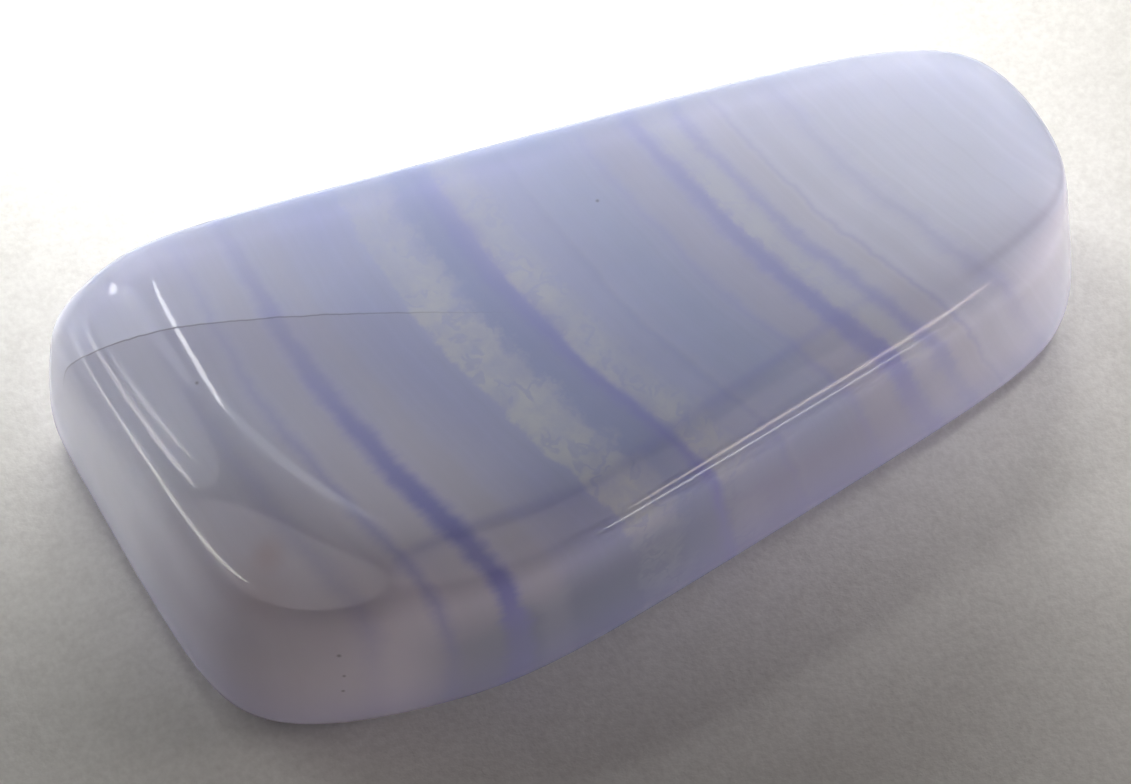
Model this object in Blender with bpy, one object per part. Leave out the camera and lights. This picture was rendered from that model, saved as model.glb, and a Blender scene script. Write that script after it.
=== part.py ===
"""A tumble-polished piece of blue lace agate: one solid stone, lying on its flat underside.

The stone is a smooth body held between broad, nearly flat facets. Each facet faces away from a
point in the middle of the stone, its heart, and is blended into its neighbours, so that every
edge and corner is rounded. The origin is on the resting surface, under the middle of the stone.
"""

import math

import bmesh
import bpy
import numpy as np

MM = 0.001

# Driving sizes of the stone
LENGTH = 33.2 * MM
WIDTH = 17.0 * MM
HEIGHT = 8.0 * MM
HEART = (0.15 * MM, 0.28 * MM, HEIGHT / 2)

# The facets: the compass bearing and upward tilt of each one's outward normal in degrees, its
# distance from the heart and the softness of its edges. Bearing 0 is towards +X, the narrow tip.
FACETS = {
    "top": (0, 90, HEIGHT / 2, 0.2 * MM),
    "underside": (0, -90, HEIGHT / 2 + 0.05 * MM, 0.8 * MM),
    "front towards the tip": (-81, -2, 7.85 * MM, 0.35 * MM),
    "front towards the broad end": (-100, 0, 10.2 * MM, 0.7 * MM),
    "near corner of the broad end": (-139, 14, 15.1 * MM, 1.2 * MM),
    "broad end": (-179.6, 1, 16.7 * MM, 0.5 * MM),
    "upper part of the broad end": (-174.5, 30, 15.65 * MM, 0.5 * MM),
    "far corner of the broad end": (135.5, 15, 18.0 * MM, 0.8 * MM),
    "back towards the broad end": (105, 5, 11.8 * MM, 0.5 * MM),
    "back": (81.3, 0, 6.3 * MM, 0.5 * MM),
    "near side of the tip": (-45, 6, 13.85 * MM, 1.0 * MM),
    "tip": (0, 5, 16.55 * MM, 0.5 * MM),
    "far side of the tip": (45, 3, 13.05 * MM, 1.75 * MM),
    "slope along the broad end": (180, 68, 8.8 * MM, 0.2 * MM),
    "slope at the near corner": (-156, 66, 8.8 * MM, 0.3 * MM),
    "slope along the front, broad end": (-96, 62, 7.2 * MM, 0.3 * MM),
    "slope along the front, tip end": (-79, 60, 6.7 * MM, 0.2 * MM),
}

# The skin is a grid of faces of about this size, crowded towards the edges, where it curves most
FACE_SIZE = 0.62 * MM
CROWDING = 0.3
HALVINGS = 40
LARGEST_EXPONENT = 50.0
SHARP_ANGLE = math.radians(30)

STONE_COLOUR = (0.42, 0.44, 0.62, 1.0)
STONE_ROUGHNESS = 0.12


def clear_scene():
    for old in list(bpy.data.objects):
        bpy.data.objects.remove(old, do_unlink=True)


def facet_planes():
    """The facets' outward normals, their distances from the heart and their softness."""
    normals = []
    for bearing, tilt, _, _ in FACETS.values():
        around = math.radians(bearing)
        up = math.radians(tilt)
        normals.append((math.cos(around) * math.cos(up), math.sin(around) * math.cos(up), math.sin(up)))
    distances = [distance for _, _, distance, _ in FACETS.values()]
    softness = [soft for _, _, _, soft in FACETS.values()]
    return np.array(normals), np.array(distances), np.array(softness)


def reach_along(directions):
    """How far the skin lies from the heart along each direction.

    A point is inside where the facets' exponentials add up to less than one. The flat that the
    stone rests on cuts the rounded underside off at the height of the origin.
    """
    normals, distances, softness = facet_planes()
    nearest = np.zeros(len(directions))
    furthest = np.full(len(directions), LENGTH)
    for _ in range(HALVINGS):
        middle = (nearest + furthest) / 2
        beyond = (directions * middle[:, None]) @ normals.T - distances
        total = np.exp(np.minimum(beyond / softness, LARGEST_EXPONENT)).sum(axis=1)
        nearest = np.where(total < 1, middle, nearest)
        furthest = np.where(total < 1, furthest, middle)
    drop = np.maximum(-directions[:, 2], 1e-9)
    return np.minimum(nearest, HEART[2] / drop)


def add_grid_box(bm):
    """A cube from -1 to 1 whose edges are cut into faces of about the same real size."""
    bmesh.ops.create_cube(bm, size=2.0)
    for axis, side in enumerate((LENGTH, WIDTH, HEIGHT)):
        along = [edge for edge in bm.edges if abs(edge.verts[0].co[axis] - edge.verts[1].co[axis]) > 0.5]
        bmesh.ops.subdivide_edges(bm, edges=along, cuts=round(side / FACE_SIZE) - 1)


def make_stone():
    bm = bmesh.new()
    add_grid_box(bm)
    places = np.array([vert.co[:] for vert in bm.verts])
    crowded = places + CROWDING * (places - places**3)
    box = crowded * np.array((LENGTH, WIDTH, HEIGHT)) / 2
    directions = box / np.linalg.norm(box, axis=1, keepdims=True)
    skin = np.array(HEART) + directions * reach_along(directions)[:, None]
    for vert, place in zip(bm.verts, skin):
        vert.co = place
    mesh = bpy.data.meshes.new("agate")
    bm.to_mesh(mesh)
    bm.free()
    mesh.shade_smooth()
    mesh.set_sharp_from_angle(angle=SHARP_ANGLE)
    stone = bpy.data.objects.new("agate", mesh)
    bpy.context.scene.collection.objects.link(stone)
    return stone


def polished_agate():
    material = bpy.data.materials.new("polished_agate")
    material.use_nodes = True
    shader = material.node_tree.nodes["Principled BSDF"]
    shader.inputs["Base Color"].default_value = STONE_COLOUR
    shader.inputs["Roughness"].default_value = STONE_ROUGHNESS
    shader.inputs["Metallic"].default_value = 0.0
    return material


clear_scene()
agate = make_stone()
agate.data.materials.append(polished_agate())
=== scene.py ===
"""Blue lace agate: one tumble-polished stone, lying on a sheet of matt white paper by a window."""

import math

import bmesh
import bpy
import numpy as np
from mathutils import Matrix, Vector


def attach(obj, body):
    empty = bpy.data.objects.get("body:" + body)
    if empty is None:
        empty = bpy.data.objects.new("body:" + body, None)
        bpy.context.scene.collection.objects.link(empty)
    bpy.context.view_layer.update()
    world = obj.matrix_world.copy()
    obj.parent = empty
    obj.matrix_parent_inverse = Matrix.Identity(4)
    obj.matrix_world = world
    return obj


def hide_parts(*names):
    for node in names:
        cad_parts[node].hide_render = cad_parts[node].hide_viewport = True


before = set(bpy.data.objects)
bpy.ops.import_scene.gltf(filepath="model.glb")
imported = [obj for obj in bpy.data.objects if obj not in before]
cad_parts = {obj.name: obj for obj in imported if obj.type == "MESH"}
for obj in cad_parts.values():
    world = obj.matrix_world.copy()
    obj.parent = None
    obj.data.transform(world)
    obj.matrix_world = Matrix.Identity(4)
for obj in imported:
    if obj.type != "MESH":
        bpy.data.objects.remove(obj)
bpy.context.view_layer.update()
MM = 0.001


# The view. A long lens looks down on the stone from the front left, 56 degrees above the paper.
# It is aimed at a point inside the stone, and is drawn to a number of pixels per millimetre there.
BEARING, TILT = math.radians(-27), math.radians(56)
DISTANCE = 200 * MM
AIM = Vector((-1.69, -0.92, 4.0)) * MM
PIXELS_PER_MM = 30.75
PHOTO_WIDTH = 1131
SENSOR = 36.0
NEAREST_SEEN = 10 * MM

towards_eye = Vector((
    math.sin(BEARING) * math.cos(TILT),
    -math.cos(BEARING) * math.cos(TILT),
    math.sin(TILT),
))
lens = bpy.data.cameras.new("view")
lens.sensor_width = SENSOR
lens.lens = PIXELS_PER_MM * DISTANCE / MM * SENSOR / PHOTO_WIDTH
lens.clip_start = NEAREST_SEEN
camera = bpy.data.objects.new("view", lens)
camera.location = AIM + towards_eye * DISTANCE
camera.rotation_euler = towards_eye.to_track_quat("Z", "Y").to_euler()
bpy.context.scene.collection.objects.link(camera)
bpy.context.scene.camera = camera


# The stone is one piece of chalcedony, sawn, then tumbled until every edge is round and polished.
# It is a body of broad, nearly flat facets around a point in its middle, its heart, and each
# facet is blended into its neighbours.
LENGTH, WIDTH, HEIGHT = 33.2 * MM, 17.0 * MM, 8.0 * MM
HEART = np.array((0.15, 0.28, 4.0)) * MM
# Each facet: the compass bearing and upward tilt of its outward normal in degrees, its distance
# from the heart and the softness of its edges in millimetres. Bearing 0 is towards the tip.
FACETS = {
    "top": (0, 90, 4.0, 0.2),
    "underside": (0, -90, 4.05, 0.8),
    "front towards the tip": (-81, -2, 7.85, 0.35),
    "front towards the broad end": (-100, 0, 10.2, 0.7),
    "near corner of the broad end": (-139, 14, 15.1, 1.2),
    "broad end": (-179.6, 1, 16.7, 0.5),
    "upper part of the broad end": (-174.5, 30, 15.65, 0.5),
    "far corner of the broad end": (135.5, 15, 18.0, 0.8),
    "back towards the broad end": (105, 5, 11.8, 0.5),
    "back": (81.3, 0, 6.3, 0.5),
    "near side of the tip": (-45, 6, 13.85, 1.0),
    "tip": (0, 5, 16.55, 0.5),
    "far side of the tip": (45, 3, 13.05, 1.75),
    "slope along the broad end": (180, 68, 8.8, 0.2),
    "slope at the near corner": (-156, 66, 8.8, 0.3),
    "slope along the front, broad end": (-96, 62, 7.2, 0.3),
    "slope along the front, tip end": (-79, 60, 6.7, 0.2),
}
# The skin is a grid of faces of about this size, crowded towards the edges, where it curves most
FACE_SIZE = 0.2 * MM
CROWDING = 0.3
HALVINGS = 40
LARGEST_EXPONENT = 50.0
LEAST_DROP = 1e-9


def facing(bearing, tilt):
    """The direction with that bearing and upward tilt, given in degrees."""
    around, up = np.radians(bearing), np.radians(tilt)
    return np.array((np.cos(around) * np.cos(up), np.sin(around) * np.cos(up), np.sin(up)))


def reach_along(directions):
    """How far the skin lies from the heart.

    A point is inside the stone where the facets' exponentials add up to less than one, and the
    flat that the stone rests on cuts the rounded underside off.
    """
    bearing, tilt, distance, softness = np.array(list(FACETS.values())).T
    along_normals = directions @ facing(bearing, tilt)
    nearest = np.zeros(len(directions))
    furthest = np.full(len(directions), LENGTH)
    for _ in range(HALVINGS):
        middle = (nearest + furthest) / 2
        beyond = (along_normals * middle[:, None] - distance * MM) / (softness * MM)
        inside = np.exp(np.minimum(beyond, LARGEST_EXPONENT)).sum(axis=1) < 1
        nearest = np.where(inside, middle, nearest)
        furthest = np.where(inside, furthest, middle)
    return np.minimum(nearest, HEART[2] / np.maximum(-directions[:, 2], LEAST_DROP))


def tumbled_stone():
    """A cube whose sides are cut into small faces, with each corner moved onto the skin."""
    bm = bmesh.new()
    bmesh.ops.create_cube(bm, size=2.0)
    for axis, side in enumerate((LENGTH, WIDTH, HEIGHT)):
        edges = [
            edge for edge in bm.edges
            if abs(edge.verts[0].co[axis] - edge.verts[1].co[axis]) > 0.5
        ]
        bmesh.ops.subdivide_edges(bm, edges=edges, cuts=round(side / FACE_SIZE) - 1)
    places = np.array([vert.co[:] for vert in bm.verts])
    crowded = places + CROWDING * (places - places**3)
    box = crowded * np.array((LENGTH, WIDTH, HEIGHT)) / 2
    directions = box / np.linalg.norm(box, axis=1, keepdims=True)
    skin = HEART + directions * reach_along(directions)[:, None]
    for vert, place in zip(bm.verts, skin):
        vert.co = place
    mesh = bpy.data.meshes.new("blue_lace_agate")
    bm.to_mesh(mesh)
    bm.free()
    mesh.shade_smooth()
    return mesh


stone = bpy.data.objects.new("blue_lace_agate", tumbled_stone())
bpy.context.scene.collection.objects.link(stone)


# The chalcedony grew in thin curved layers, clear violet-blue ones and milky white ones. A point's
# layer is the place, in millimetres along the stone, where its layer crosses the middle of the
# flat top. Between the layers lie seams of darker violet and feathery white lace.
PER_MM = 1000.0
# Added to a point's place in millimetres, so that it is measured from the middle of the flat top
FROM_TOP_MIDDLE = (-0.2, -0.11, -8.0)

agate = bpy.data.materials.new("polished_blue_lace_agate")
agate.use_nodes = True
tree = agate.node_tree
polish = tree.nodes["Principled BSDF"]


def put(kind, **settings):
    """A new node of that kind."""
    node = tree.nodes.new(kind)
    for name, value in settings.items():
        setattr(node, name, value)
    return node


def feed(node, **inputs):
    """Links each socket to a node's output, or sets it to a plain value."""
    for name, value in inputs.items():
        socket = node.inputs[int(name[1:])] if name[0] == "_" else node.inputs[name]
        if isinstance(value, bpy.types.NodeSocket):
            tree.links.new(value, socket)
        else:
            socket.default_value = value
    return node


def work_out(operation, a, b=0.0, c=0.0):
    return feed(put("ShaderNodeMath", operation=operation), _0=a, _1=b, _2=c).outputs[0]


def plus(a, b):
    return work_out("ADD", a, b)


def times(first, *others):
    for other in others:
        first = work_out("MULTIPLY", first, other)
    return first


def times_plus(a, b, c):
    return work_out("MULTIPLY_ADD", a, b, c)


def rises(value, start, end, low=0.0, high=1.0):
    """Goes smoothly from low to high as the value goes from start to end."""
    node = put("ShaderNodeMapRange", interpolation_type="SMOOTHSTEP")
    return feed(node, _0=value, _1=start, _2=end, _3=low, _4=high).outputs[0]


def line_at(value, middle, half_width):
    """One at the middle and nought beyond half the width on either side."""
    return rises(work_out("ABSOLUTE", plus(value, -middle)), half_width, 0.0)


def stretched(where, scale, turn=0.0):
    node = put("ShaderNodeMapping")
    return feed(node, Vector=where, Scale=scale, Rotation=(0.0, 0.0, turn)).outputs[0]


def cloudy(where, size, detail=2.0, roughness=0.5):
    """A noise between about -0.5 and 0.5, whose lumps have that size in millimetres."""
    node = put("ShaderNodeTexNoise")
    feed(node, Vector=where, Scale=1 / size, Detail=detail, Roughness=roughness)
    return plus(node.outputs[0], -0.5)


def tint(base, shade, share):
    """The base with that share of the shade in it."""
    node = put("ShaderNodeMix", data_type="RGBA")
    return feed(node, _0=share, _6=base, _7=shade).outputs[2]


def near(place, size):
    """One at a place on the stone and nought further off than the size."""
    gap = feed(put("ShaderNodeVectorMath", operation="DISTANCE"), _0=in_mm, _1=place)
    return rises(gap.outputs["Value"], size, 0.0)


def depth_under(facet):
    """How far a point lies under that facet."""
    bearing, tilt, distance, _ = FACETS[facet]
    heart = [HEART[axis] * PER_MM + FROM_TOP_MIDDLE[axis] for axis in range(3)]
    from_heart = feed(put("ShaderNodeVectorMath", operation="SUBTRACT"), _0=in_mm, _1=heart)
    outwards = put("ShaderNodeVectorMath", operation="DOT_PRODUCT")
    feed(outwards, _0=from_heart.outputs[0], _1=tuple(facing(bearing, tilt)))
    return work_out("SUBTRACT", distance, outwards.outputs["Value"])


# A point's place in millimetres: along the stone towards the tip, across it towards the back, and
# below its top, where the numbers are under nought
surface = put("ShaderNodeTexCoord").outputs["Object"]
in_mm = feed(
    put("ShaderNodeMapping"), Vector=surface, Scale=(PER_MM,) * 3, Location=FROM_TOP_MIDDLE,
).outputs[0]
axes = feed(put("ShaderNodeSeparateXYZ"), Vector=in_mm).outputs
along, across, below = axes[0], axes[1], axes[2]
towards_back = rises(across, -8.0, 6.0)

# The layers lean over towards the broad end, the more so towards the tip, and are bowed and buckled
LEAN_ACROSS, MORE_ACROSS = 0.2, 0.008
LEAN_DOWN, MORE_DOWN = 0.20, 0.017
BOW = -0.0125
BUCKLE = 0.45
lean_across = times_plus(along, MORE_ACROSS, LEAN_ACROSS)
lean_down = times_plus(along, MORE_DOWN, LEAN_DOWN)
layer = plus(times_plus(lean_across, across, along), times(lean_down, below))
layer = plus(layer, times(across, across, BOW))
layer = times_plus(cloudy(in_mm, 5.0, 1.0), BUCKLE, layer)
waves = cloudy(in_mm, 1.1, 2.0)
fibres = cloudy(stretched(in_mm, (0.5, 2.0, 2.0)), 0.5, 3.0, 0.6)
mottle = cloudy(in_mm, 2.6, 2.0)

VIOLET = (0.35, 0.36, 0.68, 1.0)
DEEP_BLUE = (0.34, 0.39, 0.62, 1.0)
PALE_BEIGE = (0.58, 0.57, 0.65, 1.0)
LACE_WHITE = (0.62, 0.64, 0.70, 1.0)
GREY = (0.37, 0.36, 0.49, 1.0)
DUST_AND_PAINTED_LIGHT = (0.80, 0.76, 0.85, 1.0)
PAINTED_LIGHT_BLUE = (0.62, 0.65, 0.80, 1.0)
SMOKE_AND_SHADE_BLUE = (0.27, 0.31, 0.42, 1.0)
WARM = (0.60, 0.44, 0.45, 1.0)
DARK = (0.16, 0.15, 0.20, 1.0)

# The clear ground between the bands, from the broad end to the tip: the layer and its colour
GROUND = (
    (-17.0, (0.80, 0.81, 0.91)),
    (-12.5, (0.62, 0.63, 0.77)),
    (-9.0, (0.51, 0.53, 0.69)),
    (-7.0, (0.44, 0.47, 0.68)),
    (-3.5, (0.45, 0.48, 0.68)),
    (-0.8, (0.47, 0.50, 0.70)),
    (1.5, (0.45, 0.49, 0.68)),
    (3.5, (0.48, 0.50, 0.67)),
    (7.0, (0.61, 0.62, 0.74)),
    (12.0, (0.69, 0.71, 0.83)),
    (17.0, (0.67, 0.70, 0.83)),
)
LAST_LAYER = 17.0
ground = put("ShaderNodeValToRGB")
stops = ground.color_ramp.elements
while len(stops) < len(GROUND):
    stops.new(0.5)
for stop, (place, shade) in zip(stops, GROUND):
    stop.position = (place + LAST_LAYER) / (2 * LAST_LAYER)
    stop.color = (*shade, 1.0)
share_of_layers = feed(put("ShaderNodeMapRange"), _0=layer, _1=-LAST_LAYER, _2=LAST_LAYER)
feed(ground, Fac=share_of_layers.outputs[0])

# Fine stripes along the layers and a faint mottle make the ground lighter and darker
STRIPE_SIZE = 0.55
STRIPE_WANDER = 0.25
STRIPE_CONTRAST, MOTTLE_CONTRAST, MIDDLE_BRIGHTNESS = 0.13, 0.12, 0.935
stripes = feed(
    put("ShaderNodeTexNoise", noise_dimensions="1D"),
    W=times_plus(waves, STRIPE_WANDER, layer), Scale=1 / STRIPE_SIZE, Detail=4.0, Roughness=0.7,
).outputs[0]
brightness = times_plus(stripes, STRIPE_CONTRAST, MIDDLE_BRIGHTNESS)
brightness = plus(brightness, times(mottle, MOTTLE_CONTRAST))
colour = feed(
    put("ShaderNodeVectorMath", operation="SCALE"), _0=ground.outputs[0], Scale=brightness,
).outputs[0]

# The far side is painted paler and bluer: painted light, the glow and sheen of the window behind
# it. The near side is paler and dustier towards the broad end: partly the stone's own dusty tone,
# partly painted light on the dim near corner.
FAR_PAINTED_LIGHT, NEAR_DUST_AND_LIGHT = 0.30, 0.75
colour = tint(colour, PAINTED_LIGHT_BLUE, rises(across, -2.0, 5.0, 0.0, FAR_PAINTED_LIGHT))
near_side = rises(across, 1.0, -7.0)
colour = tint(colour, DUST_AND_PAINTED_LIGHT, times(near_side, rises(along, -3.0, -12.0, 0.0, NEAR_DUST_AND_LIGHT)))

# The slopes along the front are painted paler too: a painted sheen, the room's reflection on slopes
# that face away from the window.
SLOPE_PAINTED_SHEEN = 0.35
SLOPE_BLEND = 0.3
front_slope = work_out(
    "SMOOTH_MIN",
    depth_under("slope along the front, broad end"),
    depth_under("slope along the front, tip end"),
    SLOPE_BLEND,
)
on_front = times(rises(along, 12.0, 8.0), rises(below, -1.8, -0.6))
colour = tint(colour, PAINTED_LIGHT_BLUE, times(rises(front_slope, 0.22, 0.05), on_front, SLOPE_PAINTED_SHEEN))

# The front wall is greyer from the main seam on, though less so towards the tip, and smoky in its
# half towards the broad end. The wall of the broad end is greyer near the corner.
WALL_GREY, TIP_WALL_GREY, WALL_SMOKE, END_WALL_GREY = 0.65, 0.2, 0.7, 0.5
wall = times(rises(below, -1.0, -4.0), rises(across, -2.0, -7.0))
grey_wall = times(rises(along, -11.0, -6.0), rises(along, 6.0, 11.0, WALL_GREY, TIP_WALL_GREY))
colour = tint(colour, GREY, times(wall, grey_wall))
smoky_wall = times(rises(along, -12.0, -8.0, 0.0, WALL_SMOKE), rises(along, 2.0, -2.0))
colour = tint(colour, SMOKE_AND_SHADE_BLUE, times(wall, smoky_wall))
end_wall = times(rises(below, -1.0, -4.0), rises(along, -13.0, -15.5), rises(across, 2.0, -2.0))
colour = tint(colour, GREY, times(end_wall, rises(across, -7.0, -4.0), END_WALL_GREY))

# Each band: the layer at its middle, its width at the front and at the back, the softness of its
# sides, its strength at the front and at the back, how far its sides wander, and its colour
BANDS = {
    "grey line": (-13.6, 0.5, 0.4, 0.7, 0.25, 0.15, 0.4, VIOLET),
    "thin violet": (-11.75, 0.35, 0.3, 0.5, 0.50, 0.25, 0.4, VIOLET),
    "first pale": (-10.8, 1.1, 0.8, 0.8, 0.38, 0.25, 0.4, PALE_BEIGE),
    "second pale": (-8.7, 1.0, 0.6, 0.7, 0.42, 0.20, 0.4, PALE_BEIGE),
    "main violet seam": (-9.9, 0.75, 0.6, 0.55, 1.0, 0.38, 0.5, VIOLET),
    "blue behind the lace": (-3.5, 1.5, 1.3, 0.9, 0.35, 0.50, 0.5, DEEP_BLUE),
    "violet line": (-2.75, 0.35, 0.9, 0.5, 0.80, 0.35, 0.4, VIOLET),
    "thin line": (-0.2, 0.2, 0.15, 0.25, 0.20, 0.05, 0.4, VIOLET),
    "pale line": (0.05, 0.2, 0.15, 0.35, 0.12, 0.05, 0.4, PALE_BEIGE),
    "dark line": (2.6, 0.3, 0.25, 0.35, 0.30, 0.15, 0.4, VIOLET),
    "third pale": (3.35, 1.3, 1.2, 0.9, 0.35, 0.20, 0.5, PALE_BEIGE),
    "near tip seam": (4.5, 0.8, 0.5, 0.5, 0.65, 0.35, 0.5, VIOLET),
    "second tip seam": (6.0, 0.5, 0.4, 0.5, 0.50, 0.30, 0.6, VIOLET),
    "fourth pale": (6.8, 0.8, 0.8, 0.6, 0.30, 0.15, 0.5, PALE_BEIGE),
    "fine tip line": (7.25, 0.15, 0.15, 0.25, 0.30, 0.12, 0.4, VIOLET),
    "last line": (9.2, 0.6, 0.6, 0.7, 0.25, 0.10, 0.8, VIOLET),
}
FIBRE_SHARE = 0.6
ragged = times_plus(fibres, FIBRE_SHARE, waves)
# The bands fade down the walls and towards the back
fading = times(rises(below, -5.0, -1.5, 0.45, 1.0), rises(across, 8.0, 3.0, 0.3, 1.0))
for middle, front, back, soft, front_share, back_share, wander, shade in BANDS.values():
    off = work_out("ABSOLUTE", plus(times_plus(ragged, wander, layer), -middle))
    beyond = times_plus(towards_back, (front - back) / 2, off)
    share = times_plus(towards_back, back_share - front_share, front_share)
    share = times(share, rises(beyond, (front + soft) / 2, (front - soft) / 2))
    colour = tint(colour, shade, times(share, fading))

# The white lace: milky clouds with frayed sides and a few clear curls. Each has its left and right
# side, how far each of these strays, and its strength at the back and at the front.
LACES = {
    "broad lace": (-5.85, -4.25, 0.8, 3.0, 0.42, 0.90),
    "pale step": (-2.5, -1.4, 0.3, 1.8, 0.40, 0.72),
    "tip lace": (4.9, 5.6, 1.5, 1.3, 0.35, 0.62),
}
BEND_SIZE, BEND_REACH = 0.6, 0.8
CURL_WIDTH, CURL_MIDDLE = 0.07, 0.01
MILK_IN_CURLS, MILK_IN_GAPS, MILK_BELOW = 0.4, 0.6, 0.25
frayed = cloudy(in_mm, 0.85, 4.0, 0.62)
bend = put("ShaderNodeTexNoise")
feed(bend, Vector=in_mm, Scale=1 / BEND_SIZE, Detail=1.0)
bent = put("ShaderNodeVectorMath", operation="MULTIPLY_ADD")
feed(bent, _0=bend.outputs["Color"], _1=(BEND_REACH,) * 3, _2=in_mm)
curls = work_out("ABSOLUTE", cloudy(bent.outputs[0], 0.9, 2.0))
curls = rises(curls, CURL_WIDTH, CURL_MIDDLE)
clear = times(curls, rises(cloudy(in_mm, 1.1, 1.0), -0.05, 0.05))
patchy = rises(cloudy(in_mm, 1.6, 2.0), -0.12, 0.05, MILK_IN_GAPS, 1.0)
full = rises(frayed, -0.15, 0.12, MILK_IN_GAPS, 1.0)
milky = times(patchy, full, rises(clear, 0.0, 1.0, 1.0, MILK_IN_CURLS))
for left, right, left_strays, right_strays, back_share, front_share in LACES.values():
    inside_left = rises(times_plus(frayed, left_strays, layer), left - 0.15, left + 0.1)
    inside_right = rises(times_plus(frayed, right_strays, layer), right + 0.55, right - 0.35)
    share = times(inside_left, inside_right, milky, rises(below, -3.0, -0.5, MILK_BELOW, 1.0))
    share = times(share, rises(across, 6.0, 0.0, back_share, front_share))
    colour = tint(colour, LACE_WHITE, share)

# A painted dark line runs along the top of the slopes on the front: painted shade, the dark
# reflection and refraction at that edge.
SLOPE_EDGE_SHADE = 0.25
slope_top_shade = times(line_at(front_slope, 0.27, 0.12), on_front, rises(below, -0.6, -0.4))
colour = tint(colour, VIOLET, times(slope_top_shade, rises(along, 9.0, 5.0), SLOPE_EDGE_SHADE))

# The rim of the far side and of the tip is painted smoky: painted shade, the darkness seen at those
# thin grazing edges. Round the near side of the tip the painted shade is a thin grey line, and the
# wall under it is painted paler, a painted glow of light coming through the thin tip.
RIM_BLEND = 0.3
RIM_SHADE, TIP_SHADE_LINE, TIP_WALL_GLOW = 0.5, 0.25, 0.35
rim = depth_under("back")
for facet in ("back towards the broad end", "far side of the tip", "tip"):
    rim = work_out("SMOOTH_MIN", rim, depth_under(facet), RIM_BLEND)
ridge = work_out("MAXIMUM", rim, times(below, -1.0))
on_rim = work_out("MAXIMUM", rises(below, -0.7, -0.4), rises(along, 13.0, 9.0))
colour = tint(colour, SMOKE_AND_SHADE_BLUE, times(rises(ridge, 1.5, 0.3), on_rim, RIM_SHADE))
tip_ridge_shade = times(line_at(below, -0.45, 0.15), rises(along, 9.0, 12.0))
colour = tint(colour, GREY, times(tip_ridge_shade, TIP_SHADE_LINE))
tip_wall_glow = times(rises(below, -0.5, -0.8), rises(below, -4.0, -1.5), rises(along, 11.0, 14.0))
colour = tint(colour, DUST_AND_PAINTED_LIGHT, times(tip_wall_glow, TIP_WALL_GLOW))

# The foot is painted more violet: a painted glow, where the light comes in through the thin edge
FOOT_GLOW = 0.45
colour = tint(colour, VIOLET, times(rises(below, -4.0, -8.0), FOOT_GLOW))

# A hairline crack runs in from the broad end, and the stone on its near side is painted darker:
# painted shade, where the crack stops the light. It follows a sloping line with one bow in it, and
# wanders a little.
CRACK_START, CRACK_BOW_LENGTH, CRACK_BOW = -16.0, 12.6, 0.37
CRACK_SLOPE, CRACK_PLACE, CRACK_WANDER = -0.42, -1.27, 0.12
CRACK_SHADE, CRACK_DARKNESS = 0.35, 0.55
bow = work_out("SINE", times(plus(along, -CRACK_START), math.pi / CRACK_BOW_LENGTH))
crack = times_plus(bow, CRACK_BOW, times_plus(along, CRACK_SLOPE, CRACK_PLACE))
crack = times_plus(cloudy(in_mm, 0.8, 2.0, 0.6), CRACK_WANDER, crack)
past_crack = work_out("SUBTRACT", across, crack)
shallow = rises(below, -3.0, -0.6)
shaded = times(rises(past_crack, 0.03, -0.03), rises(past_crack, -5.0, 0.0))
shaded = times(shaded, rises(along, -3.0, -10.0, 0.0, CRACK_SHADE), shallow)
colour = tint(colour, GREY, shaded)
hairline = times(line_at(past_crack, 0.0, 0.05), rises(along, -2.5, -9.0), shallow)
colour = tint(colour, DARK, times(hairline, CRACK_DARKNESS))

# Warm spots at the near corner, each with its place, size and strength, and a few dark specks
WARM_SPOTS = (((-13.9, -4.1, -1.0), 0.9, 0.35), ((-14.6, -4.9, -1.6), 1.6, 0.2))
SPECKS = (
    ((-13.05, -7.25, -3.1), 0.12),
    ((-12.98, -7.4, -4.15), 0.1),
    ((-13.06, -7.44, -4.95), 0.1),
    ((-13.36, 2.27, -0.13), 0.1),
    ((1.2, 2.76, 0.0), 0.1),
)
SPECK_DARKNESS = 0.6
for place, size, strength in WARM_SPOTS:
    colour = tint(colour, WARM, times(near(place, size), strength))
specks = near(*SPECKS[0])
for place, size in SPECKS[1:]:
    specks = plus(specks, near(place, size))
colour = tint(colour, DARK, times(specks, SPECK_DARKNESS))

# The polish: a faint unevenness from tumbling, fine scuffs, and the crack's open edge
POLISH, SCUFF_ROUGHNESS, MOTTLE_ROUGHNESS, CRACK_ROUGHNESS = 0.045, 0.05, 0.04, 0.2
MICRON = 0.001 * MM
SWELL, CRACK_DEPTH = 5.0, 5.0
scratches = cloudy(stretched(in_mm, (9.0, 0.4, 1.0), 0.7), 1.0, 3.0, 0.65)
scuffs = rises(scratches, 0.08, 0.2)
gloss = times_plus(mottle, MOTTLE_ROUGHNESS, times(hairline, CRACK_ROUGHNESS))
gloss = plus(times_plus(scuffs, SCUFF_ROUGHNESS, POLISH), gloss)
uneven = times_plus(cloudy(in_mm, 2.5, 1.0), SWELL, times(hairline, -CRACK_DEPTH))
bump = feed(put("ShaderNodeBump"), Height=uneven, Strength=1.0, Distance=MICRON)

feed(polish, **{
    "Base Color": colour,
    "Roughness": gloss,
    "IOR": 1.54,
    "Normal": bump.outputs[0],
    "Subsurface Weight": 1.0,
    "Subsurface Radius": (1.05, 1.0, 1.0),
    "Subsurface Scale": 1.9 * MM,
})
stone.data.materials.append(agate)
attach(stone, "root")
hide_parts("agate")


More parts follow.
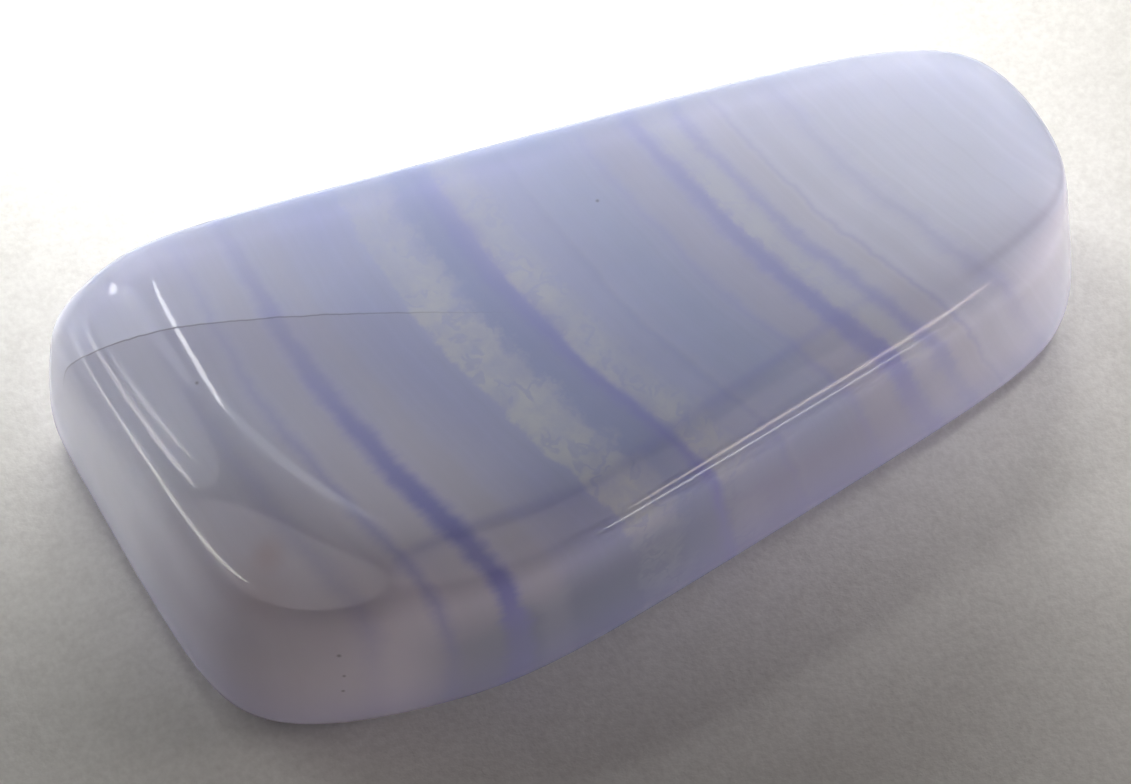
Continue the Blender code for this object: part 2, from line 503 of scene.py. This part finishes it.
# The stone lies loose on a flat sheet of matt white paper, which reaches far past the view. The
# paper has a fine grain and a coarser, shallow tooth, pressed into it when it was made.
PAPER_SIZE = 1.2
PAPER_WHITE = (0.82, 0.81, 0.765, 1.0)
PAPER_HOLLOW = (0.68, 0.665, 0.62, 1.0)
TOOTH_IN_COLOUR, TOOTH_IN_HEIGHT = 0.7, 1.6
TOOTH_HEIGHT = 0.05 * MM
PAPER_ROUGHNESS, GRAIN_ROUGHNESS = 0.85, 0.2
bm = bmesh.new()
bmesh.ops.create_grid(bm, x_segments=1, y_segments=1, size=PAPER_SIZE / 2)
sheet = bpy.data.meshes.new("paper")
bm.to_mesh(sheet)
bm.free()
paper = bpy.data.objects.new("paper", sheet)
bpy.context.scene.collection.objects.link(paper)
paper_finish = bpy.data.materials.new("matt_white_paper")
paper_finish.use_nodes = True
tree = paper_finish.node_tree
fibre = tree.nodes["Principled BSDF"]
on_paper = stretched(put("ShaderNodeTexCoord").outputs["Object"], (PER_MM,) * 3)
grain = cloudy(on_paper, 0.25, 3.0, 0.6)
tooth = cloudy(on_paper, 1.1, 4.0, 0.65)
relief = times_plus(tooth, TOOTH_IN_HEIGHT, grain)
bump = feed(put("ShaderNodeBump"), Height=relief, Strength=0.45, Distance=TOOTH_HEIGHT)
hollow = rises(times_plus(tooth, TOOTH_IN_COLOUR, grain), -0.4, 0.5)
feed(fibre, **{
    "Base Color": tint(PAPER_WHITE, PAPER_HOLLOW, hollow),
    "Roughness": times_plus(grain, GRAIN_ROUGHNESS, PAPER_ROUGHNESS),
    "Normal": bump.outputs[0],
})
sheet.materials.append(paper_finish)


# The light: a window behind the stone, whose light falls off quickly over the paper, and the pale
# room around it. These broad lamps light the scene, and don't show on the polish.
def soft_light(name, place, aim, size, power, spread=180.0, tone=(1.0, 1.0, 1.0)):
    """A lamp with an elliptical face, which the camera doesn't see."""
    lamp = bpy.data.lights.new(name, "AREA")
    lamp.shape = "ELLIPSE"
    lamp.size, lamp.size_y = size[0] * MM, size[1] * MM
    lamp.energy = power
    lamp.spread = math.radians(spread)
    lamp.color = tone
    holder = bpy.data.objects.new(name, lamp)
    holder.location = Vector(place) * MM
    away = (Vector(place) - Vector(aim)).normalized()
    holder.rotation_euler = away.to_track_quat("Z", "Y").to_euler()
    holder.visible_camera = False
    bpy.context.scene.collection.objects.link(holder)
    return holder


# Each lamp: where it stands, what it is aimed at and its size, all in millimetres, its power in
# watts, the spread of its beam in degrees, and its tone where it isn't white
WARM_WINDOW = (1.0, 0.92, 0.84)
PINK_WINDOW = (1.0, 0.93, 0.93)
WARM_ROOM = (1.0, 0.89, 0.86)
LAMPS = {
    "window_on_paper": ((-16, 45, 82), (4, 29, 0), (24, 24), 0.0061, 48),
    "window_left": ((-35, 30, 25), (-10, 10, 0), (24, 24), 0.0022, 180),
    "window_middle": ((0, 40, 25), (0, 20, 0), (30, 30), 0.0102, 180),
    "window_right": ((35, 35, 25), (10, 10, 0), (24, 24), 0.0115, 180),
    "window_far_left": ((-110, 76, 86), (-5, 28, 0), (50, 50), 0.00104, 40, WARM_WINDOW),
    "window_left_low": ((-60, 76, 7), (-16, 2, 4), (50, 10), 0.0036, 60),
    "over_tip": ((35, -8, 90), (18, -4, 4), (20, 20), 0.00026, 17),
    "window_right_low": ((86, -42, 24), (14, -2, 3), (45, 16), 0.0040, 50, PINK_WINDOW),
    "room_front_low": ((-40, -86, 12), (-9, -6, 4), (50, 20), 0.00112, 60, WARM_ROOM),
    "room_front_right": ((60, -75, 12), (5, -6, 4), (50, 20), 0.00075, 60, WARM_ROOM),
}
for name, lamp in LAMPS.items():
    soft_light(name, *lamp).visible_glossy = False

# The bright lines on the ridges are the polish mirroring strips of window, and the soft sheen on
# the slopes is that of broad dim panes, two of them with a narrower one inside. Each lies between
# two directions, given by bearing and height in degrees, and has its thickness in degrees, its
# brightness and its tone.
GLINTS = {
    "end_ridge": ((88, 55), (97.5, 61), 1.8, 9.0, (1.0, 1.0, 1.0)),
    "end_ridge_fade": ((97, 60), (83, 68), 4.5, 1.3, (0.9, 0.95, 1.0)),
    "end_ridge_branch": ((117, 48), (106, 58), 6.0, 1.6, (0.95, 0.97, 1.0)),
    "far_corner": ((115, 43.5), (119, 46.5), 4.3, 9.0, (1.0, 1.0, 1.0)),
    "end_wall": ((138, 26), (184, 33), 5.0, 4.5, (1.0, 0.97, 0.88)),
    "end_wall_faint": ((134, 38), (152, 48), 2.5, 4.0, (1.0, 0.95, 0.92)),
    "end_wall_faint_too": ((134, 43), (143, 51), 1.5, 3.0, (1.0, 0.97, 0.95)),
    "front_high": ((-63, 36), (-42, 37), 4.5, 4.8, (1.0, 0.84, 0.72)),
    "front_low": ((-70, 22), (-52, 19), 5.5, 5.0, (1.0, 0.96, 0.96)),
    "over_front_slope": ((-75, 42), (-75, 86), 44.0, 0.6, (1.0, 0.93, 0.97)),
    "over_front_slope_middle": ((-75, 48), (-75, 80), 32.0, 0.7, (1.0, 0.93, 0.97)),
    "over_near_corner": ((-165, 21), (-165, 73), 52.0, 0.8, (1.0, 0.93, 0.95)),
    "over_near_corner_middle": ((-165, 30), (-165, 64), 34.0, 0.8, (1.0, 0.93, 0.95)),
    "over_end_slope": ((116, 50), (152, 47), 14.0, 0.8, (0.97, 0.97, 1.0)),
}
GLINT_AWAY = 300
ELLIPSE_SHARE = math.pi / 4
for name, (start, end, thickness, brightness, tone) in GLINTS.items():
    first, last = Vector(facing(*start)), Vector(facing(*end))
    way = (first + last).normalized()
    angles = (first.angle(last), math.radians(thickness))
    size = [2 * GLINT_AWAY * math.tan(angle / 2) for angle in angles]
    power = brightness * math.pi * ELLIPSE_SHARE * size[0] * size[1] * MM * MM
    glint = soft_light(name, AIM / MM + way * GLINT_AWAY, AIM / MM, size, power, tone=tone)
    run = (last - first).normalized()
    glint.rotation_euler = Matrix((run, way.cross(run), way)).transposed().to_euler()
    glint.visible_diffuse = False

# The rest of the room is dim and warm
ROOM_TONE = (1.0, 0.88, 0.79, 1.0)
ROOM_BRIGHTNESS = 0.0145
room = bpy.data.worlds.new("room")
room.use_nodes = True
walls = room.node_tree.nodes["Background"]
walls.inputs["Color"].default_value = ROOM_TONE
walls.inputs["Strength"].default_value = ROOM_BRIGHTNESS
bpy.context.scene.world = room
bpy.context.scene.view_settings.view_transform = "Standard"
